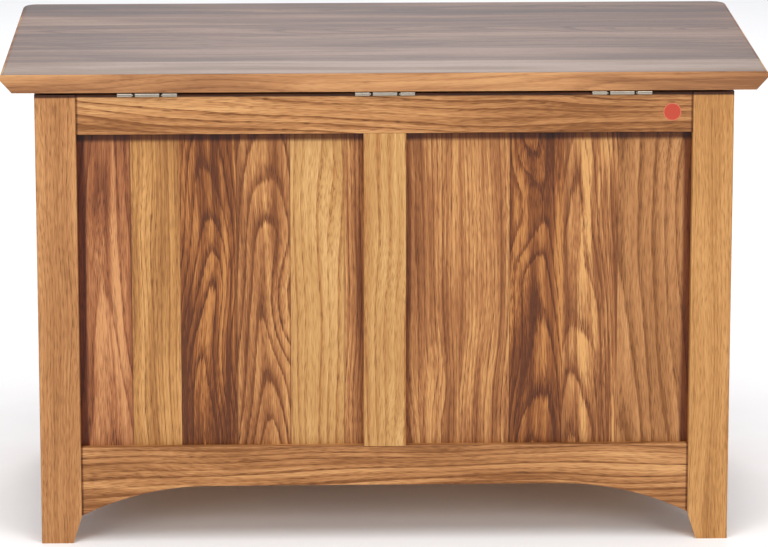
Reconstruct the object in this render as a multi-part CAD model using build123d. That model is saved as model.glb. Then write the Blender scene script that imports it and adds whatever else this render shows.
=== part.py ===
from build123d import *
import math
import os

# Oak blanket chest: a frame-and-panel box on four legs, with a hinged lid.
# Units are millimetres. X runs to the right as seen from the front, Y to the back, where the
# hinges are, and Z up. The origin is on the floor, under the middle of the lid.

# Lid
lid_width = 900.0
lid_depth = 500.0
lid_thickness = 22.0
lid_overhang = 40.0          # past the legs, at both ends and the front
lid_back_overhang = 3.5      # past the legs, at the back
lid_gap = 3.0                # between the legs and the lid
lid_corner_radius = 18.0     # of the front corners, seen from above
lid_nose_drop = 6.2          # from the top down to the tip of the moulded edge
lid_top_round = 5.0
lid_bevel_width = 14.3       # of the bevel under the ends and the front

# Legs
leg_height = 545.0
leg_size = 48.0
leg_arris = 1.5
foot_taper_height = 33.0
foot_taper_width = 10.6

# Rails, muntins and panels
rail_thickness = 24.0
rail_setback = 2.5           # from the legs' outer face
rail_arris = 0.8
top_rail_height = 48.0
bottom_rail_top = 117.0
arch_rise = 36.0             # of the arch, above the ends of the bottom rail
arch_run = 152.0             # of each arc, along the rail
muntin_width = 50.0
panel_thickness = 8.0
panel_lip = 4.0              # of rail, behind the panel
groove_depth = 8.0
groove_spare = 1.0           # left at the bottom of a groove or a mortise
mortise_wall = 4.4           # of leg, between the end of one mortise and the side of the next
tenon_shoulder = 9.0         # above and below a tenon
arch_limit = 0.9             # the most of a rail's half length that an arc may take
joint_clearance = 0.1

# Base
base_thickness = 10.0
base_board_count = 6
base_clearance = 0.5
tongue_length = 4.0
tongue_thickness = 3.2
cleat_size = 18.0
base_drop = 12.0             # from the top of the bottom rail to the top of the base
cleat_end_gap = 1.0

# Lid battens and bumpers
batten_width = 45.0
batten_thickness = 20.0
batten_end_gap = 31.75       # from a batten's end to the rail
batten_inset = 142.0         # from the leg's inner face to the middle of a batten
batten_bevel = 8.0
bumper_radius = 5.0
bumper_clearance = 0.1

# Flush hinges: the lid's leaf nests in a notch in the rail's leaf
hinge_inset = 84.0           # from the leg's inner face to the middle of an outer hinge
hinge_length = 70.0
knuckle_radius = 2.75
end_knuckle = 17.0
knuckle_gap = 2.7
pin_radius = 1.3
pin_clearance = 0.05
leaf_thickness = 2.0
leaf_margin = 1.05           # from the leaf to the rail's inner face
rail_leaf_rows = (0.38, 0.78)  # where the screws are, as shares of the leaf's depth
lid_leaf_row = 0.6
lid_leaf_depth = 19.0
leaf_clearance = 0.8
knuckle_clearance = 0.3      # between the knuckles and the rail's face
knuckle_lid_clearance = 0.55 # between the knuckles and the lid

# Slotted lid stays
lid_open_angle = 100.0
stay_radius = 165.0          # from the hinge axis to the lid pivot, and to the stud
stay_pivot_drop = 12.0       # of the lid pivot, below the lid
stay_stud_drop = 30.0        # of the stud, below the top of the rail
stay_arm_width = 12.0
stay_arm_thickness = 2.0
stay_plane = 7.5             # from the rail's inner face to the middle of the arm
stay_end = 6.0               # of arm, past the end of the slot
stud_radius = 2.5
stud_head_radius = 4.5
stud_head_thickness = 1.5
stay_side_clearance = 0.3
slot_clearance = 0.1
slot_spare = 1.0             # of slot, above the stud when the lid is shut
stay_plate_thickness = 2.0
stud_plate_length = 32.0
stud_plate_width = 14.0
bracket_length = 36.0
bracket_width = 16.0
bracket_ear = 14.0
rivet_radius = 2.0
rivet_head_radius = 3.5
rivet_head_thickness = 1.2
stay_screw_spacing = 22.0

# Countersunk screws: shank diameter, head diameter, length
hinge_screw = (3.0, 6.0, 16.0)
stay_screw = (3.0, 6.0, 14.0)
cleat_screw = (3.5, 7.0, 30.0)
batten_screw = (3.5, 7.0, 34.0)
screw_tip = 3.0
screw_clearance = 0.1
drive_slot = 0.8
drive_share = 0.55           # of the head's diameter that the cross recess spans
cleat_screw_pitch = 180.0

# Round inspection sticker on the back top rail
sticker_radius = 10.5
sticker_thickness = 0.15
sticker_from_leg = 24.5
sticker_drop = 24.0

# Places worked out from the sizes
body_width = lid_width - 2 * lid_overhang
body_depth = lid_depth - lid_overhang - lid_back_overhang
body_back = lid_depth / 2 - lid_back_overhang
body_front = body_back - body_depth
body_middle = (body_back + body_front) / 2
lid_bottom = leg_height + lid_gap
lid_top = lid_bottom + lid_thickness
rail_half = body_width / 2 - leg_size
top_rail_bottom = leg_height - top_rail_height
rail_inside = rail_setback + rail_thickness
panel_middle = rail_inside - panel_lip - panel_thickness / 2
mortise_side = panel_middle + panel_thickness / 2 + joint_clearance
tenon_length = leg_size - mortise_side - mortise_wall - groove_spare
cleat_top = bottom_rail_top - base_drop - base_thickness
batten_length = body_depth - 2 * rail_inside - 2 * batten_end_gap
batten_x = rail_half - batten_inset
panel_bite = groove_depth - groove_spare
hinge_y = body_back - rail_setback + knuckle_clearance + knuckle_radius
hinge_z = lid_bottom - knuckle_lid_clearance - knuckle_radius
hinge_x = rail_half - hinge_inset
hinge_places = {"left": -hinge_x, "middle": 0.0, "right": hinge_x}
rail_leaf_depth = rail_thickness + knuckle_clearance + knuckle_radius - leaf_margin
lid_leaf_width = hinge_length - 2 * end_knuckle - 2 * knuckle_gap
stay_x = body_width / 2 - rail_inside - stay_plane

# A wall is drawn with X along it, its legs' outer face at Y = 0 and +Y pointing out of the chest
wall_place = {
    "back": Pos(0, body_back, 0),
    "front": Pos(0, body_front, 0) * Rot(0, 0, 180),
    "right": Pos(body_width / 2, body_middle, 0) * Rot(0, 0, -90),
    "left": Pos(-body_width / 2, body_middle, 0) * Rot(0, 0, 90),
}
wall_length = {"back": body_width, "front": body_width, "right": body_depth, "left": body_depth}
diagonal = Plane(origin=(0, 0, 0), x_dir=(0, 0, 1), z_dir=(1, -1, 0))


def block(x0, x1, y0, y1, z0, z1):
    middle = Pos((x0 + x1) / 2, (y0 + y1) / 2, (z0 + z1) / 2)
    return middle * Box(abs(x1 - x0), abs(y1 - y0), abs(z1 - z0))


def rod(radius, x0, x1, y, z):
    """A cylinder along X."""
    return Pos((x0 + x1) / 2, y, z) * Rot(0, 90, 0) * Cylinder(radius, abs(x1 - x0))


def turned(points):
    """A solid turned about Z from a half outline of (radius, height) points."""
    return revolve(Plane.XZ * make_face(Polyline(*points, close=True)), Axis.Z)


def screw(size):
    """A countersunk screw that points down, with the top of its head at the origin."""
    shank, head, length = size
    slope = (head - shank) / 2
    solid = turned(
        [
            (0, 0),
            (head / 2, 0),
            (shank / 2, -slope),
            (shank / 2, screw_tip - length),
            (0, -length),
        ]
    )
    recess = Pos(0, 0, -slope / 2) * Box(head * drive_share, drive_slot, slope)
    return solid - [recess, Rot(0, 0, 90) * recess]


def screw_hole(size):
    """The countersunk hole that takes a screw."""
    shank, head, length = size
    radius = shank / 2 + screw_clearance
    end = -length - screw_clearance
    return turned(
        [
            (0, 0),
            (head / 2 + screw_clearance, 0),
            (radius, -(head - shank) / 2),
            (radius, end),
            (0, end),
        ]
    )


def bored(solid, places, size):
    """The solid with a screw hole at each place."""
    return solid - [place * screw_hole(size) for place in places]


# Legs


def top_tenon():
    return top_rail_bottom + tenon_shoulder, leg_height - tenon_shoulder


def bottom_tenon():
    return foot_taper_height + tenon_shoulder, bottom_rail_top - tenon_shoulder


def leg():
    """The back right leg, with its outer corner at X = 0, Y = 0."""
    solid = block(-leg_size, 0, -leg_size, 0, 0, leg_height)
    solid = fillet(solid.edges().filter_by(Axis.Z), leg_arris)
    wedge = Polyline(
        (-leg_size, foot_taper_height),
        (-leg_size, 0),
        (foot_taper_width - leg_size, 0),
        close=True,
    )
    half = panel_thickness / 2 + joint_clearance
    near, far = -panel_middle - half, half - panel_middle
    cuts = [extrude(Plane.XZ * make_face(wedge), leg_size)]
    for low, high in (top_tenon(), bottom_tenon()):
        depth = tenon_length + groove_spare
        low, high = low - joint_clearance, high + joint_clearance
        cuts.append(block(-leg_size, depth - leg_size, near, far, low, high))
    groove_low = bottom_rail_top - groove_depth
    groove_high = top_rail_bottom + groove_depth
    cuts.append(block(-leg_size, groove_depth - leg_size, near, far, groove_low, groove_high))
    return solid - cuts - [mirror(cut, about=diagonal) for cut in cuts]


def make_legs(nodes):
    corner = Pos(body_width / 2, body_back, 0) * leg()
    middle_xz = Plane.XZ.offset(-body_middle)
    nodes["leg_back_right"] = corner
    nodes["leg_back_left"] = mirror(corner, about=Plane.YZ)
    nodes["leg_front_right"] = mirror(corner, about=middle_xz)
    nodes["leg_front_left"] = mirror(nodes["leg_front_right"], about=Plane.YZ)


# Walls


def groove(half_length, low, high):
    half = panel_thickness / 2 + joint_clearance
    return block(-half_length, half_length, -panel_middle - half, half - panel_middle, low, high)


def with_tenons(solid, half_length, low, high):
    half = panel_thickness / 2
    end = half_length + tenon_length
    for side in (-1, 1):
        solid += block(
            side * half_length, side * end, -panel_middle - half, half - panel_middle, low, high
        )
    return solid


def eased(solid):
    """Takes the sharp edges off the two faces of a rail, but not off its ends."""
    box = solid.bounding_box()
    edges = [
        edge
        for edge in solid.edges()
        if min(abs(edge.center().Y - box.min.Y), abs(edge.center().Y - box.max.Y)) < 0.01
        and min(abs(edge.center().X - box.min.X), abs(edge.center().X - box.max.X)) > 0.01
    ]
    return chamfer(edges, rail_arris)


def top_rail(length):
    half = length / 2 - leg_size
    blank = block(-half, half, -rail_inside, -rail_setback, top_rail_bottom, leg_height)
    solid = eased(blank) - groove(half, top_rail_bottom, top_rail_bottom + groove_depth)
    return with_tenons(solid, half, *top_tenon())


def bottom_rail(length):
    """The shaped rail: a level middle that runs down into an arc at each end."""
    half = length / 2 - leg_size
    low = foot_taper_height
    run = min(arch_run, arch_limit * half)
    radius = (run**2 + arch_rise**2) / (2 * arch_rise)
    bend = math.asin(run / radius) / 2
    level = half - run
    mid_x = level + radius * math.sin(bend)
    mid_z = low + arch_rise - radius * (1 - math.cos(bend))
    outline = [
        Line((-half, bottom_rail_top), (half, bottom_rail_top)),
        Line((half, bottom_rail_top), (half, low)),
        ThreePointArc((half, low), (mid_x, mid_z), (level, low + arch_rise)),
        Line((level, low + arch_rise), (-level, low + arch_rise)),
        ThreePointArc((-level, low + arch_rise), (-mid_x, mid_z), (-half, low)),
        Line((-half, low), (-half, bottom_rail_top)),
    ]
    face = Plane.XZ * make_face(outline)
    solid = eased(Pos(0, -rail_setback, 0) * extrude(face, rail_thickness))
    solid -= groove(half, bottom_rail_top - groove_depth, bottom_rail_top)
    return with_tenons(solid, half, *bottom_tenon())


def muntin():
    """The upright between two panels, with stub tenons in the rails' grooves."""
    half = muntin_width / 2
    neck = half - groove_depth
    thick = panel_thickness / 2
    slot = thick + joint_clearance
    solid = block(-half, half, -rail_inside, -rail_setback, bottom_rail_top, top_rail_bottom)
    solid = chamfer(solid.edges().filter_by(Axis.Z), rail_arris)
    for side in (-1, 1):
        solid -= block(
            side * neck, side * half, -panel_middle - slot, slot - panel_middle,
            bottom_rail_top, top_rail_bottom,
        )
    return solid + block(
        -neck, neck, -panel_middle - thick, thick - panel_middle,
        bottom_rail_top - panel_bite, top_rail_bottom + panel_bite,
    )


def panel(x0, x1):
    """A panel that shows from x0 to x1. Its edges float in the grooves."""
    thick = panel_thickness / 2
    return block(
        x0 - panel_bite, x1 + panel_bite, -panel_middle - thick, thick - panel_middle,
        bottom_rail_top - panel_bite, top_rail_bottom + panel_bite,
    )


def make_walls(nodes):
    for side, place in wall_place.items():
        length = wall_length[side]
        half = length / 2 - leg_size
        nodes[f"{side}_top_rail"] = place * top_rail(length)
        nodes[f"{side}_bottom_rail"] = place * bottom_rail(length)
        if side in ("left", "right"):
            nodes[f"{side}_panel"] = place * panel(-half, half)
            continue
        nodes[f"{side}_muntin"] = place * muntin()
        one = place * panel(muntin_width / 2, half)
        other = place * panel(-half, -muntin_width / 2)
        right, left = (one, other) if side == "back" else (other, one)
        nodes[f"{side}_panel_right"] = right
        nodes[f"{side}_panel_left"] = left


# Base


def make_base_boards(nodes):
    """Tongued and grooved boards from front to back. The end boards go round the legs."""
    x_end = body_width / 2 - rail_inside - base_clearance
    y0 = body_front + rail_inside + base_clearance
    y1 = body_back - rail_inside - base_clearance
    z0, z1 = cleat_top, cleat_top + base_thickness
    middle = (z0 + z1) / 2
    tongue = tongue_thickness / 2
    slot = tongue + joint_clearance
    width = 2 * x_end / base_board_count
    leg_x = body_width / 2 - leg_size - base_clearance
    leg_y = leg_size + base_clearance
    for i in range(base_board_count):
        x0 = i * width - x_end
        x1 = x0 + width
        board = block(x0, x1, y0, y1, z0, z1)
        top_edges = board.edges().filter_by(Axis.Y).group_by(Axis.Z)[-1]
        board = chamfer(top_edges, rail_arris)
        if i > 0:
            end = x0 + tongue_length + base_clearance
            board -= block(x0, end, y0, y1, middle - slot, middle + slot)
        if i < base_board_count - 1:
            board += block(x1, x1 + tongue_length, y0, y1, middle - tongue, middle + tongue)
        for side in (-1, 1):
            outer, inner = side * body_width / 2, side * leg_x
            board -= block(outer, inner, body_front, body_front + leg_y, z0, z1)
            board -= block(outer, inner, body_back - leg_y, body_back, z0, z1)
        nodes[f"base_board_{i + 1}"] = board


def cleat_screw_places(length):
    """Level screws through a cleat into its rail, in the wall's frame."""
    count = max(2, round(length / cleat_screw_pitch))
    step = length / count
    z = cleat_top - cleat_size / 2
    return [
        Pos((i - (count - 1) / 2) * step, -rail_inside - cleat_size, z) * Rot(90, 0, 0)
        for i in range(count)
    ]


def make_cleats(nodes):
    """Square battens inside the bottom rails, which carry the base. Those at the sides stop short
    of the legs, or of the front and back cleats where those reach further in."""
    screws = []
    for side, place in wall_place.items():
        beside = rail_inside + cleat_size if side in ("left", "right") else 0
        half = wall_length[side] / 2 - max(leg_size, beside) - cleat_end_gap
        cleat = block(
            -half, half, -rail_inside - cleat_size, -rail_inside, cleat_top - cleat_size, cleat_top
        )
        places = [place * spot for spot in cleat_screw_places(2 * half)]
        nodes[f"{side}_cleat"] = bored(place * cleat, places, cleat_screw)
        rail = f"{side}_bottom_rail"
        nodes[rail] = bored(nodes[rail], places, cleat_screw)
        screws += [spot * screw(cleat_screw) for spot in places]
    nodes["cleat_screws"] = screws


# Lid


def make_lid(nodes):
    """The lid board. Its ends and front are moulded, and its back edge is square."""
    half_x, half_y = lid_width / 2, lid_depth / 2
    solid = block(-half_x, half_x, -half_y, half_y, lid_bottom, lid_top)
    corners = solid.edges().filter_by(Axis.Z).group_by(Axis.Y)[0]
    solid = fillet(corners, lid_corner_radius)
    under = solid.faces().sort_by(Axis.Z)[0]
    edges = [edge for edge in under.edges() if edge.center().Y < half_y - 0.01]
    solid = chamfer(edges, lid_bevel_width, lid_thickness - lid_nose_drop, reference=under)
    upper = solid.faces().sort_by(Axis.Z)[-1]
    edges = [edge for edge in upper.edges() if edge.center().Y < half_y - 0.01]
    nodes["lid_panel"] = fillet(edges, lid_top_round)


def make_battens(nodes):
    """Two bars screwed across the underside of the lid, to keep it flat."""
    low = lid_bottom - batten_thickness
    screws = []
    for side, x in (("left", -batten_x), ("right", batten_x)):
        y0, y1 = body_middle - batten_length / 2, body_middle + batten_length / 2
        bar = block(x - batten_width / 2, x + batten_width / 2, y0, y1, low, lid_bottom)
        ends = bar.edges().filter_by(Axis.X).group_by(Axis.Z)[0]
        bar = chamfer(ends, batten_bevel)
        places = [
            Pos(x, body_middle + step * batten_length / 3, low) * Rot(180, 0, 0)
            for step in (-1, 0, 1)
        ]
        nodes[f"lid_batten_{side}"] = bored(bar, places, batten_screw)
        nodes["lid_panel"] = bored(nodes["lid_panel"], places, batten_screw)
        screws += [place * screw(batten_screw) for place in places]
    nodes["batten_screws"] = screws


def make_bumpers(nodes):
    """Two pads under the lid that meet the front legs and keep the gap."""
    height = lid_gap - bumper_clearance
    x = body_width / 2 - leg_size / 2
    y = body_front + leg_size / 2
    pad = Pos(x, y, lid_bottom - height / 2) * Cylinder(bumper_radius, height)
    nodes["lid_bumpers"] = [pad, mirror(pad, about=Plane.YZ)]


# Hinges


def rail_leaf():
    """The outer leaf, which lies on the rail and carries the two end knuckles."""
    half = hinge_length / 2
    inner = half - end_knuckle
    low, high = leg_height, leg_height + leaf_thickness
    leaf = block(-half, half, hinge_y - rail_leaf_depth, hinge_y, low, high)
    leaf -= block(-inner, inner, hinge_y - lid_leaf_depth - leaf_clearance, hinge_y, low, high)
    for side in (-1, 1):
        leaf += rod(knuckle_radius, side * inner, side * half, hinge_y, hinge_z)
    return leaf - rod(pin_radius + pin_clearance, -half, half, hinge_y, hinge_z)


def lid_leaf():
    """The inner leaf, which is screwed to the lid and carries the middle knuckle."""
    half = lid_leaf_width / 2
    low = lid_bottom - leaf_thickness
    leaf = block(-half, half, hinge_y - lid_leaf_depth, hinge_y, low, lid_bottom)
    leaf += rod(knuckle_radius, -half, half, hinge_y, hinge_z)
    return leaf - rod(pin_radius + pin_clearance, -half, half, hinge_y, hinge_z)


def rail_leaf_screws(x):
    out = hinge_length / 2 - end_knuckle / 2
    top = leg_height + leaf_thickness
    rows = [hinge_y - share * rail_leaf_depth for share in rail_leaf_rows]
    return [Pos(x + side * out, y, top) for side in (-1, 1) for y in rows]


def lid_leaf_screws(x):
    low = lid_bottom - leaf_thickness
    y = hinge_y - lid_leaf_row * lid_leaf_depth
    return [Pos(x + side * lid_leaf_width / 4, y, low) * Rot(180, 0, 0) for side in (-1, 1)]


def make_hinges(nodes):
    rail_screws = []
    lid_screws = []
    half = hinge_length / 2
    for name, x in hinge_places.items():
        below, above = rail_leaf_screws(x), lid_leaf_screws(x)
        nodes[f"hinge_{name}_rail_leaf"] = bored(Pos(x, 0, 0) * rail_leaf(), below, hinge_screw)
        nodes[f"hinge_{name}_lid_leaf"] = bored(Pos(x, 0, 0) * lid_leaf(), above, hinge_screw)
        nodes[f"hinge_{name}_pin"] = rod(pin_radius, x - half, x + half, hinge_y, hinge_z)
        nodes["back_top_rail"] = bored(nodes["back_top_rail"], below, hinge_screw)
        nodes["lid_panel"] = bored(nodes["lid_panel"], above, hinge_screw)
        rail_screws += [place * screw(hinge_screw) for place in below]
        lid_screws += [place * screw(hinge_screw) for place in above]
    nodes["hinge_rail_screws"] = rail_screws
    nodes["hinge_lid_screws"] = lid_screws


# Lid stays. The lid pivot and the stud are the same distance from the hinge axis, so the arm always
# turns half as far as the lid does.

pivot_dip = math.asin((hinge_z - lid_bottom + stay_pivot_drop) / stay_radius)
stud_dip = math.asin((hinge_z - leg_height + stay_stud_drop) / stay_radius)
pivot_y = hinge_y - stay_radius * math.cos(pivot_dip)
pivot_z = hinge_z - stay_radius * math.sin(pivot_dip)
stud_y = hinge_y - stay_radius * math.cos(stud_dip)
stud_z = hinge_z - stay_radius * math.sin(stud_dip)
reach_shut = 2 * stay_radius * math.sin((stud_dip - pivot_dip) / 2)
reach_open = 2 * stay_radius * math.sin((stud_dip - pivot_dip + math.radians(lid_open_angle)) / 2)
arm_lean = math.degrees((pivot_dip + stud_dip) / 2)
arm_face = stay_x - stay_arm_thickness / 2      # of the side that faces into the chest
ear_face = arm_face - stay_side_clearance


def strap(width, top, bottom, thickness):
    """A bar with round ends, along -Z in the plane X = 0, from centre to centre of its ends."""
    bar = block(-thickness / 2, thickness / 2, -width / 2, width / 2, bottom, top)
    for z in (top, bottom):
        bar += rod(width / 2, -thickness / 2, thickness / 2, 0, z)
    return bar


def stay_arm():
    slot = 2 * (stud_radius + slot_clearance)
    deep = 2 * stay_arm_thickness
    bottom = -reach_open - stay_end
    arm = strap(stay_arm_width, 0, bottom, stay_arm_thickness)
    arm -= strap(slot, slot_spare - reach_shut, -reach_open, deep)
    arm -= rod(rivet_radius + pin_clearance, -deep, deep, 0, 0)
    return Pos(stay_x, pivot_y, pivot_z) * Rot(arm_lean, 0, 0) * arm


def stay_stud():
    """A plate on the rail, with the headed stud that runs in the slot."""
    wall = body_width / 2 - rail_inside
    face = wall - stay_plate_thickness
    long, wide = stud_plate_length / 2, stud_plate_width / 2
    plate = block(face, wall, stud_y - long, stud_y + long, stud_z - wide, stud_z + wide)
    plate = fillet(plate.edges().filter_by(Axis.X), wide / 2)
    plate += rod(stud_radius, ear_face, face, stud_y, stud_z)
    return plate + rod(stud_head_radius, ear_face - stud_head_thickness, ear_face, stud_y, stud_z)


def stay_bracket():
    """An angle under the lid. Its ear hangs down beside the arm."""
    inner = ear_face - stay_plate_thickness
    long = bracket_length / 2
    low = lid_bottom - stay_plate_thickness
    flange = block(
        ear_face - bracket_width, ear_face, pivot_y - long, pivot_y + long, low, lid_bottom
    )
    ear = block(
        inner, ear_face, pivot_y - bracket_ear / 2, pivot_y + bracket_ear / 2, pivot_z, lid_bottom
    )
    ear += rod(bracket_ear / 2, inner, ear_face, pivot_y, pivot_z)
    return flange + ear - rod(rivet_radius + pin_clearance, inner, ear_face, pivot_y, pivot_z)


def stay_rivet():
    inner = ear_face - stay_plate_thickness
    outer = stay_x + stay_arm_thickness / 2 + stay_side_clearance
    shank = rod(rivet_radius, inner, outer, pivot_y, pivot_z)
    shank += rod(rivet_head_radius, inner - rivet_head_thickness, inner, pivot_y, pivot_z)
    return shank + rod(rivet_head_radius, outer, outer + rivet_head_thickness, pivot_y, pivot_z)


def make_stays(nodes):
    face = body_width / 2 - rail_inside - stay_plate_thickness
    flange_x = ear_face - stay_plate_thickness - (bracket_width - stay_plate_thickness) / 2
    low = lid_bottom - stay_plate_thickness
    steps = (-stay_screw_spacing / 2, stay_screw_spacing / 2)
    at_stud = [Pos(face, stud_y + step, stud_z) * Rot(0, -90, 0) for step in steps]
    at_lid = [Pos(flange_x, pivot_y + step, low) * Rot(180, 0, 0) for step in steps]
    right = {
        "stay_{}_arm": stay_arm(),
        "stay_{}_stud": bored(stay_stud(), at_stud, stay_screw),
        "stay_{}_bracket": bored(stay_bracket(), at_lid, stay_screw),
        "stay_{}_rivet": stay_rivet(),
    }
    for name, solid in right.items():
        nodes[name.format("right")] = solid
        nodes[name.format("left")] = mirror(solid, about=Plane.YZ)
    stud_holes = [place * screw_hole(stay_screw) for place in at_stud]
    lid_holes = [place * screw_hole(stay_screw) for place in at_lid]
    stud_screws = [place * screw(stay_screw) for place in at_stud]
    lid_screws = [place * screw(stay_screw) for place in at_lid]
    nodes["right_top_rail"] -= stud_holes
    nodes["left_top_rail"] -= [mirror(hole, about=Plane.YZ) for hole in stud_holes]
    nodes["lid_panel"] -= lid_holes + [mirror(hole, about=Plane.YZ) for hole in lid_holes]
    nodes["stay_stud_screws"] = stud_screws + [mirror(s, about=Plane.YZ) for s in stud_screws]
    nodes["stay_bracket_screws"] = lid_screws + [mirror(s, about=Plane.YZ) for s in lid_screws]


def make_sticker(nodes):
    """A plain round paper sticker on the back top rail."""
    x = -(body_width / 2 - leg_size - sticker_from_leg)
    y = body_back - rail_setback + sticker_thickness / 2
    disc = Rot(90, 0, 0) * Cylinder(sticker_radius, sticker_thickness)
    nodes["inspection_sticker"] = Pos(x, y, leg_height - sticker_drop) * disc


parts = {}
make_legs(parts)
make_walls(parts)
make_base_boards(parts)
make_cleats(parts)
make_lid(parts)
make_battens(parts)
make_bumpers(parts)
make_hinges(parts)
make_stays(parts)
make_sticker(parts)

os.makedirs("parts", exist_ok=True)
for name, shape in parts.items():
    solids = shape if isinstance(shape, list) else [shape]
    bodies = [solid for item in solids for solid in item.solids()]
    whole = bodies[0] if len(bodies) == 1 else Compound(children=bodies)
    export_step(whole, f"parts/{name}.step")

print("nodes", len(parts))
print("hinge axis: y", round(hinge_y, 3), "z", round(hinge_z, 3))
print("stay pivot: x", round(stay_x, 3), "y", round(pivot_y, 3), "z", round(pivot_z, 3))
print("stay slot reach: shut", round(reach_shut, 2), "open", round(reach_open, 2))
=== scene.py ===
import math

import bmesh
import bpy
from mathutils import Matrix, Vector


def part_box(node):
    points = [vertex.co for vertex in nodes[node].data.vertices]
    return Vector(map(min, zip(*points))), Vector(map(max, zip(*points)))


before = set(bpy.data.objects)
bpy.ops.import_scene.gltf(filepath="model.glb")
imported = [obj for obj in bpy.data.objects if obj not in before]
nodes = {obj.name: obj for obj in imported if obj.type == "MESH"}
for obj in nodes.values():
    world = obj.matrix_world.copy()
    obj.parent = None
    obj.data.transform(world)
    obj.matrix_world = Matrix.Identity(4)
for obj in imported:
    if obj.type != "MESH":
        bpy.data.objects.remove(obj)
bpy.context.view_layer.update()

mm = 1000.0                     # millimetres in a metre


# colour and node helpers

def linear(hexColour):
    channels = [int(hexColour[i:i + 2], 16) / 255 for i in (1, 3, 5)]
    light = [c / 12.92 if c <= 0.04045 else ((c + 0.055) / 1.055) ** 2.4 for c in channels]
    return (*light, 1.0)


def addNode(tree, kind, values=None, links=None, stops=None, **settings):
    node = tree.nodes.new("ShaderNode" + kind)
    for name, value in settings.items():
        setattr(node, name, value)
    for socket, value in (values or {}).items():
        node.inputs[socket].default_value = value
    for socket, source in (links or {}).items():
        output = source if isinstance(source, bpy.types.NodeSocket) else source.outputs[0]
        tree.links.new(output, node.inputs[socket])
    if stops:                   # how a ramp goes between its stops, then (place, colour) in order
        elements = node.color_ramp.elements
        node.color_ramp.interpolation = stops[0]
        elements.remove(elements[-1])
        for i, (at, colour) in enumerate(stops[1:]):
            element = elements[0] if i == 0 else elements.new(at)
            element.position = at
            element.color = (*colour[:3], 1.0)
    return node


def newMaterial(name):
    material = bpy.data.materials.new(name)
    material.use_nodes = True
    material.node_tree.nodes.clear()
    return material, material.node_tree


# Oak, planed and sanded, under satin lacquer. The eye gets growth-ring lines that run the length of
# the board and close in tall arches near its heart, fine dark pores, and a soft low sheen.

oakTones = {                    # pale streaks, body, dark streaks, pores
    "straw": ("#D8AB73", "#BB8E55", "#A06B39", "#5E3616"),
    "honey": ("#C8955F", "#A97445", "#7D4D25", "#452409"),
    "gold": ("#CC9A5F", "#B07D46", "#8C5B2E", "#4B290D"),
    "tan": ("#CA965B", "#9F683B", "#72411F", "#3C1C08"),
    "rosy": ("#C58C5A", "#995F38", "#6F3C1F", "#3A1909"),
    "brown": ("#B37D49", "#86522A", "#5A3014", "#301404"),
    "umber": ("#B37942", "#824B23", "#582D13", "#331606"),
}

oakFigures = {
    # heart: mm from the face to the centre of the log. tilt: how fast that grows along the board.
    # ring: mm of growth a year. contrast: how dark its early wood is. blotch: how patchy it is.
    "straight": {"heart": 30, "tilt": 0.02, "ring": 4.6, "contrast": 0.46, "blotch": 0.75},
    "quarter": {"heart": 60, "tilt": 0.01, "ring": 3.4, "contrast": 0.26, "blotch": 0.36},
    "plain": {"heart": 45, "tilt": 0.03, "ring": 8.5, "contrast": 0.48, "blotch": 0.45},
    "rift": {"heart": 40, "tilt": 0.06, "ring": 7.0, "contrast": 0.75, "blotch": 0.75},
    "flat": {"heart": 45, "tilt": 0.04, "ring": 5.6, "contrast": 0.55, "blotch": 0.7},
    "arched": {"heart": 34, "tilt": 0.08, "ring": 5.6, "contrast": 0.72, "blotch": 0.75},
    "wild": {"heart": 24, "tilt": 0.06, "ring": 4.3, "contrast": 0.60, "blotch": 1.1},
}

oak = {                         # sizes in mm: across the board, into it, along it
    "apart": (7100, 4300, 9200), "seedApart": (5000, 3000, 8000),   # how far apart boards grew
    "wander": (80, 80, 340), "wanderBy": 17,
    "feather": (1.3, 1.3, 30), "featherBy": 1.5,
    "drift": (38, 38, 260), "driftBy": 0.9, "driftSpread": 0.25,
    "streak": (11, 11, 700), "streakBy": 0.8, "streakSpread": 0.17,
    "fibre": (0.9, 0.9, 150), "fibreBy": 0.6, "fibreSpread": 0.25,
    "pore": (0.7, 0.7, 13), "poreBy": -0.25, "poreSpread": 0.25,
    "poreFrom": 0.56, "poreTo": 0.66, "poreInk": 0.60,  # real pores are finer than these
    "ringBy": 1.0,              # then place in a year's ring, and how dark it is there
    "ringDark": ((0.0, 1.0), (0.1, 0.9), (0.26, 0.4), (0.5, 0.12), (0.92, 0.0), (1.0, 0.8)),
    "yearDark": (0.25, 1.35),   # the palest year and the darkest
    "eye": (17, 52), "eyeReach": 2.1,           # half its width and height, and how far rings bend
    "seam": 0.8, "seamInk": 0.45,               # a glue line is finer, drawn so that it shows
    "edgeFrom": 0.55,           # share of an edge's width that is at its darkest
    "body": 0.55,
    "relief": 0.6, "reliefDepth": 0.2, "ringHollow": 0.5,
    "ior": 1.5, "roughness": 0.42, "poreRoughness": 0.62,
    "specular": 0.25,           # half the usual: open pores swallow part of the reflection
}

tableRange = {                  # a ramp holds 0 to 1, so it stores each number as a share of these
    "beside": 500,              # mm past either side of the piece, where a heart may still lie
    "depth": 1000, "ring": 10, "along": 2000,           # mm
    "rings": 20,                # closed round an eye
}


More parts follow.
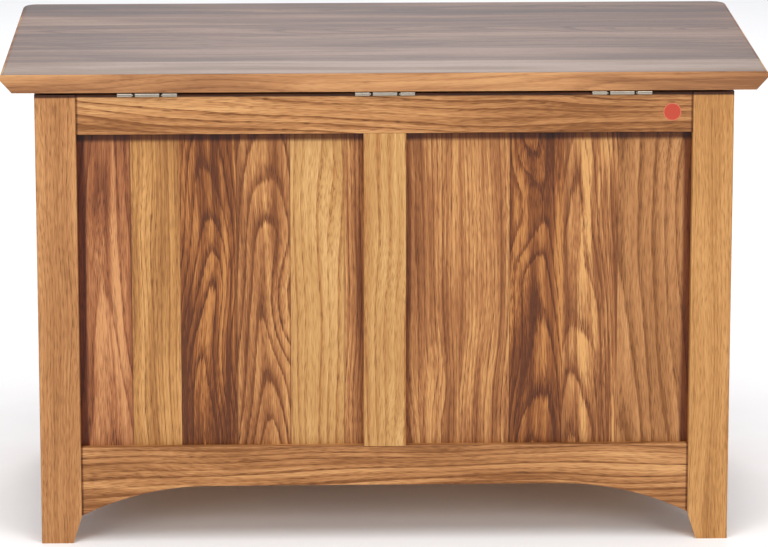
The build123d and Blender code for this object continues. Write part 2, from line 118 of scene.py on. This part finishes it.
def boardTables(tree, across, boards, middleAlong, look):
    # what each board is like, in ramps that are read by the place across
    total = sum(board[0] for board in boards)
    beside = tableRange["beside"]
    rows = {key: ["CONSTANT"] for key in ("pale", "body", "dark", "pore", "heart", "ring", "eye")}
    rows["seam"] = ["CONSTANT", (0.0, (0, 0, 0))]
    edge = 0.0
    for i, (width, tone, figure, heart, eye) in enumerate(boards):
        at = edge / total
        kind = oakFigures[figure]
        for key, colour in zip(("pale", "body", "dark", "pore"), oakTones[tone]):
            rows[key].append((at, linear(colour)))
        heartPlace = (edge + heart * width + beside) / (total + 2 * beside)
        rows["heart"].append((at, (heartPlace, kind["heart"] / tableRange["depth"], kind["tilt"])))
        ringWidth = kind["ring"] / tableRange["ring"]
        rows["ring"].append((at, (ringWidth, kind["contrast"] * look["ringBy"], kind["blotch"])))
        eyeShare, eyeUp, eyeRings = eye or (0.5, 0.0, 0.0)
        eyePlace = (edge + eyeShare * width) / total
        eyeHeight = (eyeUp - middleAlong) / tableRange["along"] + 0.5
        rows["eye"].append((at, (eyePlace, eyeHeight, eyeRings / tableRange["rings"])))
        if i > 0:
            half = look["seam"] / 2 / total
            rows["seam"] += [(at - half, (1, 1, 1)), (at + half, (0, 0, 0))]
        edge += width
    share = addNode(tree, "Math", operation="DIVIDE", values={1: total}, links={0: across})
    return {
        key: addNode(tree, "ValToRGB", links={"Fac": share}, stops=stops)
        for key, stops in rows.items()
    }


def grainFields(tree, grain, heart, seed, look):
    # every board comes from its own part of a log, and its grain wanders as the tree did
    jump = addNode(
        tree, "VectorMath", operation="MULTIPLY_ADD",
        values={1: look["apart"], 2: [seed * step for step in look["seedApart"]]},
        links={0: heart},
    )
    own = addNode(tree, "VectorMath", operation="ADD", links={0: grain, 1: jump})
    fit = addNode(
        tree, "VectorMath", operation="DIVIDE", values={1: look["wander"]}, links={0: own}
    )
    wander = addNode(
        tree, "TexNoise", values={"Scale": 1.0, "Detail": 1.0}, links={"Vector": fit}
    )
    by = look["wanderBy"]
    stray = addNode(
        tree, "VectorMath", operation="MULTIPLY_ADD",
        values={1: (2 * by, 2 * by, 0), 2: (-by, -by, 0)}, links={0: wander.outputs["Color"]},
    )
    strayed = addNode(tree, "VectorMath", operation="ADD", links={0: grain, 1: stray})
    figured = addNode(tree, "VectorMath", operation="ADD", links={0: own, 1: stray})
    field = {}
    for key, detail in (
        ("feather", 1.0), ("drift", 2.0), ("streak", 2.0), ("fibre", 2.0), ("pore", 0.0),
    ):
        fit = addNode(
            tree, "VectorMath", operation="DIVIDE", values={1: look[key]}, links={0: figured}
        )
        field[key] = addNode(
            tree, "TexNoise", values={"Scale": 1.0, "Detail": detail}, links={"Vector": fit}
        )
    return strayed, field


def ringCount(tree, strayed, feather, total, heartIs, ringIs, look):
    # rings are counted out from the heart of the log
    at = addNode(tree, "SeparateXYZ", links={0: strayed})
    heartAcross = addNode(
        tree, "Math", operation="MULTIPLY_ADD",
        values={1: total + 2 * tableRange["beside"], 2: -tableRange["beside"]},
        links={0: heartIs.outputs[0]},
    )
    fromHeart = addNode(
        tree, "Math", operation="SUBTRACT", links={0: at.outputs[0], 1: heartAcross}
    )
    rise = addNode(
        tree, "Math", operation="MULTIPLY", links={0: heartIs.outputs[2], 1: at.outputs[2]}
    )
    heartDepth = addNode(
        tree, "Math", operation="MULTIPLY_ADD", values={1: tableRange["depth"]},
        links={0: heartIs.outputs[1], 2: rise},
    )
    fromDepth = addNode(tree, "Math", operation="ADD", links={0: at.outputs[1], 1: heartDepth})
    flat = addNode(tree, "CombineXYZ", links={0: fromHeart, 1: fromDepth})
    radius = addNode(tree, "VectorMath", operation="LENGTH", links={0: flat})
    feathered = addNode(
        tree, "Math", operation="MULTIPLY_ADD", values={1: look["featherBy"]},
        links={0: feather, 2: radius.outputs["Value"]},
    )
    ringWidth = addNode(
        tree, "Math", operation="MULTIPLY", values={1: tableRange["ring"]},
        links={0: ringIs.outputs[0]},
    )
    return addNode(tree, "Math", operation="DIVIDE", links={0: feathered, 1: ringWidth})


def eyeCount(tree, strayed, total, eyeIs, look):
    # at an eye the rings close round a buried knot
    along = tableRange["along"]
    eyeAcross = addNode(
        tree, "Math", operation="MULTIPLY", values={1: total}, links={0: eyeIs.outputs[0]}
    )
    eyeAlong = addNode(
        tree, "Math", operation="MULTIPLY_ADD", values={1: along, 2: -along / 2},
        links={0: eyeIs.outputs[1]},
    )
    eyeAt = addNode(tree, "CombineXYZ", links={0: eyeAcross, 2: eyeAlong})
    toEye = addNode(tree, "VectorMath", operation="SUBTRACT", links={0: strayed, 1: eyeAt})
    halfWidth, halfHeight = look["eye"]
    eyeShape = addNode(
        tree, "VectorMath", operation="MULTIPLY", values={1: (1 / halfWidth, 0, 1 / halfHeight)},
        links={0: toEye},
    )
    eyeFar = addNode(tree, "VectorMath", operation="LENGTH", links={0: eyeShape})
    eyeNear = addNode(
        tree, "MapRange", interpolation_type="SMOOTHERSTEP",
        values={"From Max": look["eyeReach"], "To Min": tableRange["rings"], "To Max": 0.0},
        links={"Value": eyeFar.outputs["Value"]},
    )
    return addNode(tree, "Math", operation="MULTIPLY", links={0: eyeNear, 1: eyeIs.outputs[2]})


def earlyWood(tree, phase, contrast, look):
    # a ring starts dark and open and ends pale and dense, some years darker than others
    ring = addNode(tree, "Math", operation="FRACT", links={0: phase})
    year = addNode(tree, "Math", operation="FLOOR", links={0: phase})
    yearShade = addNode(tree, "TexWhiteNoise", noise_dimensions="1D", links={"W": year})
    ringDark = addNode(
        tree, "ValToRGB", links={"Fac": ring},
        stops=["LINEAR"] + [(at, (dark, dark, dark)) for at, dark in look["ringDark"]],
    )
    palest, darkest = look["yearDark"]
    yearBy = addNode(
        tree, "MapRange", values={"To Min": palest, "To Max": darkest}, links={"Value": yearShade}
    )
    ringBy = addNode(tree, "Math", operation="MULTIPLY", links={0: ringDark, 1: yearBy})
    return addNode(tree, "Math", operation="MULTIPLY", links={0: ringBy, 1: contrast})


def woodColour(tree, field, early, blotch, table, look):
    # lightness is the body's, moved by patches, streaks and fibres, then by pores and rings
    moved = {}
    for key in ("drift", "streak", "fibre", "pore"):
        by, spread = look[key + "By"], look[key + "Spread"]
        moved[key] = addNode(
            tree, "MapRange",
            values={
                "From Min": 0.5 - spread, "From Max": 0.5 + spread, "To Min": -by / 2,
                "To Max": by / 2,
            },
            links={"Value": field[key]},
        )
    uneven = addNode(
        tree, "Math", operation="ADD", links={0: moved["drift"], 1: moved["streak"]}
    )
    uneven = addNode(tree, "Math", operation="ADD", links={0: uneven, 1: moved["fibre"]})
    light = addNode(
        tree, "Math", operation="MULTIPLY_ADD", values={2: look["body"]},
        links={0: uneven, 1: blotch},
    )
    light = addNode(tree, "Math", operation="ADD", links={0: light, 1: moved["pore"]})
    light = addNode(tree, "Math", operation="SUBTRACT", links={0: light, 1: early})
    lower = addNode(tree, "MapRange", values={"From Max": 0.5}, links={"Value": light})
    upper = addNode(
        tree, "MapRange", values={"From Min": 0.5, "From Max": 1.0}, links={"Value": light}
    )
    deep = addNode(
        tree, "Mix", data_type="RGBA", links={"Factor": lower, 6: table["dark"], 7: table["body"]}
    )
    wood = addNode(
        tree, "Mix", data_type="RGBA", links={"Factor": upper, 6: deep.outputs[2], 7: table["pale"]}
    )
    return wood.outputs[2]


def poreDepth(tree, pores, early, look):
    # pores crowd into the early wood
    opened = addNode(
        tree, "MapRange", values={"From Min": look["poreFrom"], "From Max": look["poreTo"]},
        links={"Value": pores},
    )
    crowd = addNode(
        tree, "MapRange",
        values={"From Max": 0.5, "To Min": look["poreInk"] / 4, "To Max": look["poreInk"]},
        links={"Value": early},
    )
    return addNode(tree, "Math", operation="MULTIPLY", links={0: opened, 1: crowd})


def tintEdges(tree, colour, split, edges, look):
    # painted shade darkens the wood where one piece goes into or under another, and a painted sheen
    # greys the lid's top
    for axis, at, direction, width, tintColour in edges:
        clear = addNode(
            tree, "MapRange", interpolation_type="SMOOTHSTEP",
            values={
                "From Min": at + direction * width * look["edgeFrom"],
                "From Max": at + direction * width,
            },
            links={"Value": split.outputs["XYZ".index(axis)]},
        )
        tint = addNode(
            tree, "Mix", data_type="RGBA", values={6: (*tintColour, 1), 7: (1, 1, 1, 1)},
            links={"Factor": clear},
        )
        colour = addNode(
            tree, "VectorMath", operation="MULTIPLY", links={0: colour, 1: tint.outputs[2]}
        )
    return colour


def oakMaterial(name, node, along, across, boards, seed=0.0, edges=(), finish=None):
    # boards: (width in mm, tone, figure, heart's place across as a share, eye) from the low end of
    # the across axis. An eye is (place across as a share, place along in mm, rings).
    # edges: (axis, place in mm, direction away from it, width in mm, tint).
    look = {**oak, **(finish or {})}
    low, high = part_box(node)
    depth = "XYZ".replace(along, "").replace(across, "")
    order = ["XYZ".index(axis) for axis in (across, depth, along)]
    start = low[order[0]] * mm
    middle = [(low[i] + high[i]) / 2 * mm for i in order]
    total = sum(board[0] for board in boards)
    material, tree = newMaterial(name)
    place = addNode(tree, "TexCoord")
    scaled = addNode(
        tree, "VectorMath", operation="SCALE", values={"Scale": mm},
        links={0: place.outputs["Object"]},
    )
    split = addNode(tree, "SeparateXYZ", links={0: scaled})
    turned = addNode(
        tree, "CombineXYZ", links={slot: split.outputs[i] for slot, i in enumerate(order)}
    )
    grain = addNode(
        tree, "VectorMath", operation="SUBTRACT", values={1: (start, middle[1], middle[2])},
        links={0: turned},
    )
    grainSplit = addNode(tree, "SeparateXYZ", links={0: grain})
    table = boardTables(tree, grainSplit.outputs[0], boards, middle[2], look)
    heartIs, ringIs, eyeIs = (
        addNode(tree, "SeparateXYZ", links={0: table[key]}) for key in ("heart", "ring", "eye")
    )

    strayed, field = grainFields(tree, grain, table["heart"], seed, look)
    count = ringCount(tree, strayed, field["feather"], total, heartIs, ringIs, look)
    closing = eyeCount(tree, strayed, total, eyeIs, look)
    phase = addNode(tree, "Math", operation="ADD", links={0: closing, 1: count})
    early = earlyWood(tree, phase, ringIs.outputs[1], look)
    wood = woodColour(tree, field, early, ringIs.outputs[2], table, look)
    pore = poreDepth(tree, field["pore"], early, look)
    seamInk = addNode(
        tree, "MapRange", values={"To Max": look["seamInk"]}, links={"Value": table["seam"]}
    )
    ink = addNode(tree, "Math", operation="MAXIMUM", links={0: pore, 1: seamInk})
    inked = addNode(
        tree, "Mix", data_type="RGBA", links={"Factor": ink, 6: wood, 7: table["pore"]}
    )
    colour = tintEdges(tree, inked.outputs[2], split, edges, look)

    roughness = addNode(
        tree, "MapRange", values={"To Min": look["roughness"], "To Max": look["poreRoughness"]},
        links={"Value": pore},
    )
    hollow = addNode(
        tree, "Math", operation="MULTIPLY_ADD", values={1: look["ringHollow"]},
        links={0: early, 2: pore},
    )
    relief = addNode(
        tree, "Bump", invert=True,
        values={"Strength": look["relief"], "Distance": look["reliefDepth"] / mm},
        links={"Height": hollow},
    )
    shader = addNode(
        tree, "BsdfPrincipled", values={"IOR": look["ior"], "Specular IOR Level": look["specular"]},
        links={"Base Color": colour, "Roughness": roughness, "Normal": relief},
    )
    addNode(tree, "OutputMaterial", links={"Surface": shader})
    return material


# Steel, nickel-plated: brushed hinge leaves, brighter stays, and turned screws, which are dullest.
# The eye gets a warm grey, cloudy in places, with a broken shine drawn out along the scratches.

nickel = {
    "leaf": "#B3AA9C", "stay": "#C4BCAE", "screw": "#A9A196",           # tints
    "roughness": 0.24, "screwRoughness": 0.34,
    "smoother": 0.08, "rougher": 0.16,  # how far scratches move the roughness
    "cloudsPerMm": 0.12, "cloudTint": 0.72,
    "scratch": (60.0, 0.35, 0.35),      # mm, real scratches are finer, drawn so that they show
    "relief": 0.4, "reliefDepth": 0.03,                                 # depth in mm
    "gapShadeWidth": 1.5, "gapShadeLight": 0.03,    # painted shade in each knuckle gap: its width in mm, and how much light it leaves
}


def nickelMaterial(name, tint, roughness=nickel["roughness"], joints=()):
    # joints: places along X, in mm, where painted shade darkens the gaps between knuckles
    material, tree = newMaterial(name)
    place = addNode(tree, "TexCoord")
    scaled = addNode(
        tree, "VectorMath", operation="SCALE", values={"Scale": mm},
        links={0: place.outputs["Object"]},
    )
    fit = addNode(
        tree, "VectorMath", operation="DIVIDE", values={1: nickel["scratch"]}, links={0: scaled}
    )
    scratch = addNode(
        tree, "TexNoise", values={"Scale": 1.0, "Detail": 2.0}, links={"Vector": fit}
    )
    cloud = addNode(
        tree, "TexNoise", values={"Scale": nickel["cloudsPerMm"], "Detail": 2.0},
        links={"Vector": scaled},
    )
    dull = (*(c * nickel["cloudTint"] for c in linear(tint)[:3]), 1.0)
    tone = addNode(
        tree, "Mix", data_type="RGBA", values={6: linear(tint), 7: dull}, links={"Factor": cloud}
    )
    colour = tone.outputs[2]
    split = addNode(tree, "SeparateXYZ", links={0: scaled})
    # painted shade: the metal goes nearly black at each gap between knuckles
    for at in joints:
        away = addNode(
            tree, "Math", operation="SUBTRACT", values={1: at}, links={0: split.outputs[0]}
        )
        far = addNode(tree, "Math", operation="ABSOLUTE", links={0: away})
        outsideGapShade = addNode(
            tree, "MapRange",
            values={
                "From Min": nickel["gapShadeWidth"] / 2, "From Max": nickel["gapShadeWidth"],
                "To Min": nickel["gapShadeLight"],
            },
            links={"Value": far},
        )
        colour = addNode(tree, "VectorMath", operation="SCALE", links={0: colour, "Scale": outsideGapShade})
    rough = addNode(
        tree, "MapRange",
        values={"To Min": roughness - nickel["smoother"], "To Max": roughness + nickel["rougher"]},
        links={"Value": scratch},
    )
    relief = addNode(
        tree, "Bump", values={"Strength": nickel["relief"], "Distance": nickel["reliefDepth"] / mm},
        links={"Height": scratch},
    )
    shader = addNode(
        tree, "BsdfPrincipled", values={"Metallic": 1.0},
        links={"Base Color": colour, "Roughness": rough, "Normal": relief},
    )
    addNode(tree, "OutputMaterial", links={"Surface": shader})
    return material


# Moulded rubber, coated paper and painted floor. The eye gets one colour that drifts a little, a
# fine tooth, and no clear reflection.

matt = {
    "roughnessBy": 0.08, "relief": 0.3, "reliefDepth": 0.04,    # depth in mm
    "rimBlur": 0.3,             # share of a rim's width over which it fades in
}


def mattMaterial(name, colour, other, grit, roughness, rim=None):
    # grit: mm. rim: (a node's name, the rim's width in mm, its colour) for a round piece.
    material, tree = newMaterial(name)
    place = addNode(tree, "TexCoord")
    scaled = addNode(
        tree, "VectorMath", operation="SCALE", values={"Scale": mm / grit},
        links={0: place.outputs["Object"]},
    )
    tooth = addNode(
        tree, "TexNoise", values={"Scale": 1.0, "Detail": 4.0}, links={"Vector": scaled}
    )
    tone = addNode(
        tree, "Mix", data_type="RGBA", values={6: linear(colour), 7: linear(other)},
        links={"Factor": tooth},
    )
    if rim:
        node, rimWidth, rimColour = rim
        low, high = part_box(node)
        middle = (Vector(low) + Vector(high)) / 2
        radius = (high[0] - low[0]) / 2
        wide = rimWidth / mm
        out = addNode(
            tree, "VectorMath", operation="DISTANCE", values={1: middle},
            links={0: place.outputs["Object"]},
        )
        onRim = addNode(
            tree, "MapRange",
            values={
                "From Min": radius - wide, "From Max": radius - wide * (1 - matt["rimBlur"]),
            },
            links={"Value": out.outputs["Value"]},
        )
        tone = addNode(
            tree, "Mix", data_type="RGBA", values={7: linear(rimColour)},
            links={"Factor": onRim, 6: tone.outputs[2]},
        )
    rough = addNode(
        tree, "MapRange",
        values={
            "To Min": roughness - matt["roughnessBy"], "To Max": roughness + matt["roughnessBy"],
        },
        links={"Value": tooth},
    )
    relief = addNode(
        tree, "Bump", values={"Strength": matt["relief"], "Distance": matt["reliefDepth"] / mm},
        links={"Height": tooth},
    )
    shader = addNode(
        tree, "BsdfPrincipled",
        links={"Base Color": tone.outputs[2], "Roughness": rough, "Normal": relief},
    )
    addNode(tree, "OutputMaterial", links={"Surface": shader})
    return material


def finishWith(name, material):
    mesh = nodes[name].data
    mesh.materials.clear()
    mesh.materials.append(material)


# frame members

memberLooks = {         # tone, figure, heart's place across, seed
    "leg_back_right": ("honey", "quarter", 2.2, 0.11),
    "leg_back_left": ("gold", "quarter", -1.4, 0.23),
    "leg_front_right": ("honey", "straight", 1.9, 0.35),
    "leg_front_left": ("honey", "quarter", -1.3, 0.47),
    "back_top_rail": ("honey", "rift", 2.0, 0.52),
    "back_bottom_rail": ("honey", "rift", -0.8, 0.61),
    "front_top_rail": ("honey", "rift", -1.2, 0.72),
    "front_bottom_rail": ("honey", "rift", 1.6, 0.83),
    "right_top_rail": ("honey", "rift", 2.2, 0.14),
    "right_bottom_rail": ("tan", "flat", 0.5, 0.26),
    "left_top_rail": ("honey", "rift", -1.4, 0.38),
    "left_bottom_rail": ("tan", "flat", 0.5, 0.44),
    "back_muntin": ("straw", "plain", 1.9, 0.57),
    "front_muntin": ("gold", "plain", -1.2, 0.66),
    "front_cleat": ("straw", "straight", 2.5, 0.71),
    "back_cleat": ("straw", "straight", 2.5, 0.75),
    "left_cleat": ("straw", "straight", 2.5, 0.79),
    "right_cleat": ("straw", "straight", 2.5, 0.87),
    "lid_batten_left": ("honey", "straight", 1.5, 0.91),
    "lid_batten_right": ("honey", "straight", 1.5, 0.96),
}


def widthMm(name, axis):
    low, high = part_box(name)
    i = "XYZ".index(axis)
    return (high[i] - low[i]) * mm


jointShadow = {                 # mm
    "width": 3.0, "tint": (0.42, 0.33, 0.25),               # where a rail meets its legs
    "lidWidth": 4.5, "lidTint": (0.12, 0.07, 0.05),         # under the lid's overhang
}


def memberEdges(name, along):
    shadow = []
    if name in ("back_top_rail", "leg_back_left", "leg_back_right"):
        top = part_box("back_top_rail")[1].z * mm
        shadow = [("Z", top, -1, jointShadow["lidWidth"], jointShadow["lidTint"])]
    if not name.endswith("rail"):
        return shadow
    inner = {
        "X": (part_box("leg_back_left")[1][0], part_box("leg_back_right")[0][0]),
        "Y": (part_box("leg_front_left")[1][1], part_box("leg_back_left")[0][1]),
    }[along]
    width, tint = jointShadow["width"], jointShadow["tint"]
    low, high = min(inner) * mm, max(inner) * mm
    return shadow + [(along, low, 1, width, tint), (along, high, -1, width, tint)]


for name, (tone, figure, heart, seed) in memberLooks.items():
    if name.startswith("leg") or name.endswith("muntin"):
        along, across = "Z", "X"
    elif name.startswith("lid_batten"):
        along, across = "Y", "X"
    else:
        along, across = "Y" if name.startswith(("left", "right")) else "X", "Z"
    board = (widthMm(name, across), tone, figure, heart, None)
    material = oakMaterial(
        "lacqueredOak_" + name, name, along, across, [board], seed, memberEdges(name, along)
    )
    finishWith(name, material)
print("frame members finished")


# panels: boards of mixed tone, glued edge to edge

panelBoards = {         # from the low end of the axis: width, tone, figure, heart, eye
    "back_panel_left": [
        (92, "honey", "plain", 0.9, None),
        (65, "tan", "wild", 0.8, None),
        (63, "umber", "wild", 0.5, (0.7, 400, 2)),
        (60, "tan", "straight", -0.9, None),
        (59, "tan", "straight", 1.3, (0.6, 130, 2)),
    ],
    "back_panel_right": [
        (29, "tan", "straight", -1.5, None),
        (64, "straw", "plain", 2.0, None),
        (63, "tan", "arched", 0.45, (0.15, 290, 2)),
        (67, "umber", "wild", 0.55, (0.25, 225, 2)),
        (58, "gold", "straight", 1.6, None),
        (60, "rosy", "flat", 0.45, None),
    ],
    "front_panel_left": [
        (66, "tan", "flat", 0.4, None),
        (70, "honey", "arched", 0.5, None),
        (64, "rosy", "straight", 1.6, None),
        (68, "brown", "arched", 0.6, None),
        (69, "honey", "flat", 0.3, None),
    ],
    "front_panel_right": [
        (68, "honey", "straight", 1.6, None),
        (66, "rosy", "arched", 0.5, None),
        (70, "tan", "flat", 0.7, None),
        (64, "straw", "quarter", 2.0, None),
        (69, "brown", "wild", 0.4, (0.5, 240, 3)),
    ],
    "left_panel": [
        (72, "honey", "arched", 0.5, None),
        (70, "tan", "straight", -0.8, None),
        (74, "brown", "flat", 0.5, None),
        (78, "rosy", "wild", 0.5, (0.5, 260, 3)),
        (80, "gold", "straight", 1.5, None),
    ],
    "right_panel": [
        (76, "rosy", "flat", 0.4, None),
        (74, "straw", "quarter", 1.8, None),
        (72, "tan", "arched", 0.5, None),
        (74, "brown", "straight", -0.8, None),
        (78, "honey", "flat", 0.6, None),
    ],
}
panelSeedStep = 0.17                        # sets each panel's boards apart in the log
panelShadow = {
    "groove": 7.0,                          # mm that the frame hides
    "centre": 50.0,                         # mm from the middle, where only a muntin stands
    "leg": 12.0, "legTint": (0.34, 0.19, 0.10),
    "muntin": 8.0, "muntinTint": (0.70, 0.58, 0.50),
    "top": 13.0, "topTint": (0.22, 0.13, 0.06),
}


def panelEdges(name, across):
    low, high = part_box(name)
    i = "XYZ".index(across)
    groove, centre = panelShadow["groove"], panelShadow["centre"]
    start, end = low[i] * mm + groove, high[i] * mm - groove
    leg = (panelShadow["leg"], panelShadow["legTint"])
    muntin = (panelShadow["muntin"], panelShadow["muntinTint"])
    starts = muntin if abs(start) < centre else leg
    ends = muntin if abs(end) < centre else leg
    return [
        (across, start, 1, *starts), (across, end, -1, *ends),
        ("Z", high.z * mm - groove, -1, panelShadow["top"], panelShadow["topTint"]),
    ]


for count, (name, boards) in enumerate(panelBoards.items()):
    across = "X" if name.startswith(("back", "front")) else "Y"
    material = oakMaterial(
        "lacqueredOak_" + name, name, "Z", across, boards, panelSeedStep * count,
        panelEdges(name, across),
    )
    finishWith(name, material)
print("panels finished")


# lid and base

lid = {
    # each board keeps its own oak tone, but they run from darkest at the front edge to palest at the
    # hinged back edge: painted shade and sheen across the top
    "boards": [
        (84, "brown", "flat", 0.5, None),
        (82, "tan", "straight", 1.8, None),
        (86, "tan", "arched", 0.5, None),
        (82, "honey", "flat", 0.6, None),
        (84, "honey", "straight", 1.5, None),
        (78, "straw", "straight", -0.5, None),
        (4, "honey", "straight", 9.0, None),                # a lipping along the hinged edge
    ],
    "seed": 0.31,
    "paintedSheenDepth": 0.2, "paintedSheenTint": (0.42, 0.48, 0.86),      # mm deep: painted sheen, the top face darkened and turned grey-blue as by the pale reflection it catches
    "finish": {
        "specular": 0.45, "ringBy": 0.6, "driftBy": 1.2,
        "streak": (34, 34, 900), "streakBy": 1.1, "fibre": (2.4, 2.4, 220), "fibreBy": 0.4,
        "poreBy": -0.1, "poreInk": 0.35,
    },
}
base = {
    "tones": ["straw", "gold", "straw", "honey", "straw", "gold"],
    "figure": "straight", "heart": 1.5, "seedStep": 0.13,
}
# painted sheen: only the lid's top face gets this grey-blue tint
paintedSheenTop = ("Z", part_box("lid_panel")[1].z * mm, -1, lid["paintedSheenDepth"], lid["paintedSheenTint"])
finishWith(
    "lid_panel",
    oakMaterial(
        "lacqueredOak_lid", "lid_panel", "X", "Y", lid["boards"], lid["seed"], [paintedSheenTop],
        lid["finish"],
    ),
)
for i, tone in enumerate(base["tones"]):
    name = f"base_board_{i + 1}"
    board = (widthMm(name, "X"), tone, base["figure"], base["heart"], None)
    finishWith(name, oakMaterial("planedOak_" + name, name, "Y", "X", [board], base["seedStep"] * i))
print("lid and base finished")


# metal, rubber and paper

bumpers = {"colour": "#3B3632", "other": "#2A2624", "grit": 0.6, "roughness": 0.62}
sticker = {
    "colour": "#B23A1D", "other": "#A63014", "grit": 0.5, "roughness": 0.48,
    "rim": ("inspection_sticker", 1.2, "#BE6044"),
}

for side in ("left", "middle", "right"):
    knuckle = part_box(f"hinge_{side}_lid_leaf")
    brushedNickel = nickelMaterial(
        f"brushedNickelSteel_{side}", nickel["leaf"], joints=[end[0] * mm for end in knuckle]
    )
    for piece in ("lid_leaf", "rail_leaf", "pin"):
        finishWith(f"hinge_{side}_{piece}", brushedNickel)
platedNickel = nickelMaterial("platedNickelSteel", nickel["stay"])
turnedNickel = nickelMaterial("turnedNickelSteel", nickel["screw"], nickel["screwRoughness"])
for name in nodes:
    if name.endswith("_screws"):
        finishWith(name, turnedNickel)
    elif name.startswith("stay_"):
        finishWith(name, platedNickel)
finishWith("lid_bumpers", mattMaterial("mouldedRubberPad", **bumpers))
finishWith("inspection_sticker", mattMaterial("coatedPaperSticker", **sticker))
print("metal, rubber and paper finished")


# floor, light and camera

studio = {
    "floor": {"colour": "#FDFDFC", "other": "#FAF9F7", "grit": 40.0, "roughness": 0.8},
    "floorSize": 16.0, "world": "#F4F6FF", "worldStrength": 0.48,
    "lights": [        # name, place, size in metres, watts
        ("keyLeft", (2.3, 3.4, 1.5), 1.6, 48.0),
        ("keyRight", (-2.3, 3.4, 1.5), 1.6, 48.0),
        ("frontSoftbox", (0.0, -3.2, 3.4), 2.0, 85.0),
        ("above", (0.0, 1.6, 3.6), 2.6, 78.0),
    ],
    "aim": (0.0, 0.0, 0.28),
}
mainView = {          # metres and degrees
    "place": (0.125, 5.086, 1.466), "turn": 1.47, "dip": 12.22, "roll": 0.02,
    "lens": 197.4, "sensor": 36.0, "shiftUp": -0.0957,
}


def makeFloor():
    mesh = bpy.data.meshes.new("floor")
    half = studio["floorSize"] / 2
    build = bmesh.new()
    corners = ((-half, -half), (half, -half), (half, half), (-half, half))
    build.faces.new([build.verts.new((x, y, 0)) for x, y in corners])
    build.to_mesh(mesh)
    build.free()
    floor = bpy.data.objects.new("floor", mesh)
    bpy.context.scene.collection.objects.link(floor)
    mesh.materials.append(mattMaterial("paintedFloor", **studio["floor"]))


def makeLights():
    for name, place, size, watts in studio["lights"]:
        data = bpy.data.lights.new(name, "AREA")
        data.shape = "SQUARE"
        data.size = size
        data.energy = watts
        light = bpy.data.objects.new(name, data)
        light.location = place
        aim = Vector(studio["aim"]) - Vector(place)
        light.rotation_mode = "QUATERNION"
        light.rotation_quaternion = aim.to_track_quat("-Z", "Y")
        light.visible_camera = False
        bpy.context.scene.collection.objects.link(light)
    world = bpy.data.worlds.new("studioWorld")
    world.use_nodes = True
    background = world.node_tree.nodes["Background"]
    background.inputs["Color"].default_value = linear(studio["world"])
    background.inputs["Strength"].default_value = studio["worldStrength"]
    bpy.context.scene.world = world


def makeCamera():
    data = bpy.data.cameras.new("mainCamera")
    data.sensor_width = mainView["sensor"]
    data.lens = mainView["lens"]
    data.shift_y = mainView["shiftUp"]
    camera = bpy.data.objects.new("mainCamera", data)
    camera.rotation_mode = "XYZ"
    camera.location = mainView["place"]
    camera.rotation_euler = (
        math.radians(90 - mainView["dip"]), math.radians(mainView["roll"]),
        math.radians(180 - mainView["turn"]),
    )
    bpy.context.scene.collection.objects.link(camera)
    bpy.context.scene.camera = camera


makeFloor()
makeLights()
makeCamera()
bpy.context.scene.view_settings.view_transform = "Standard"
print("studio ready")
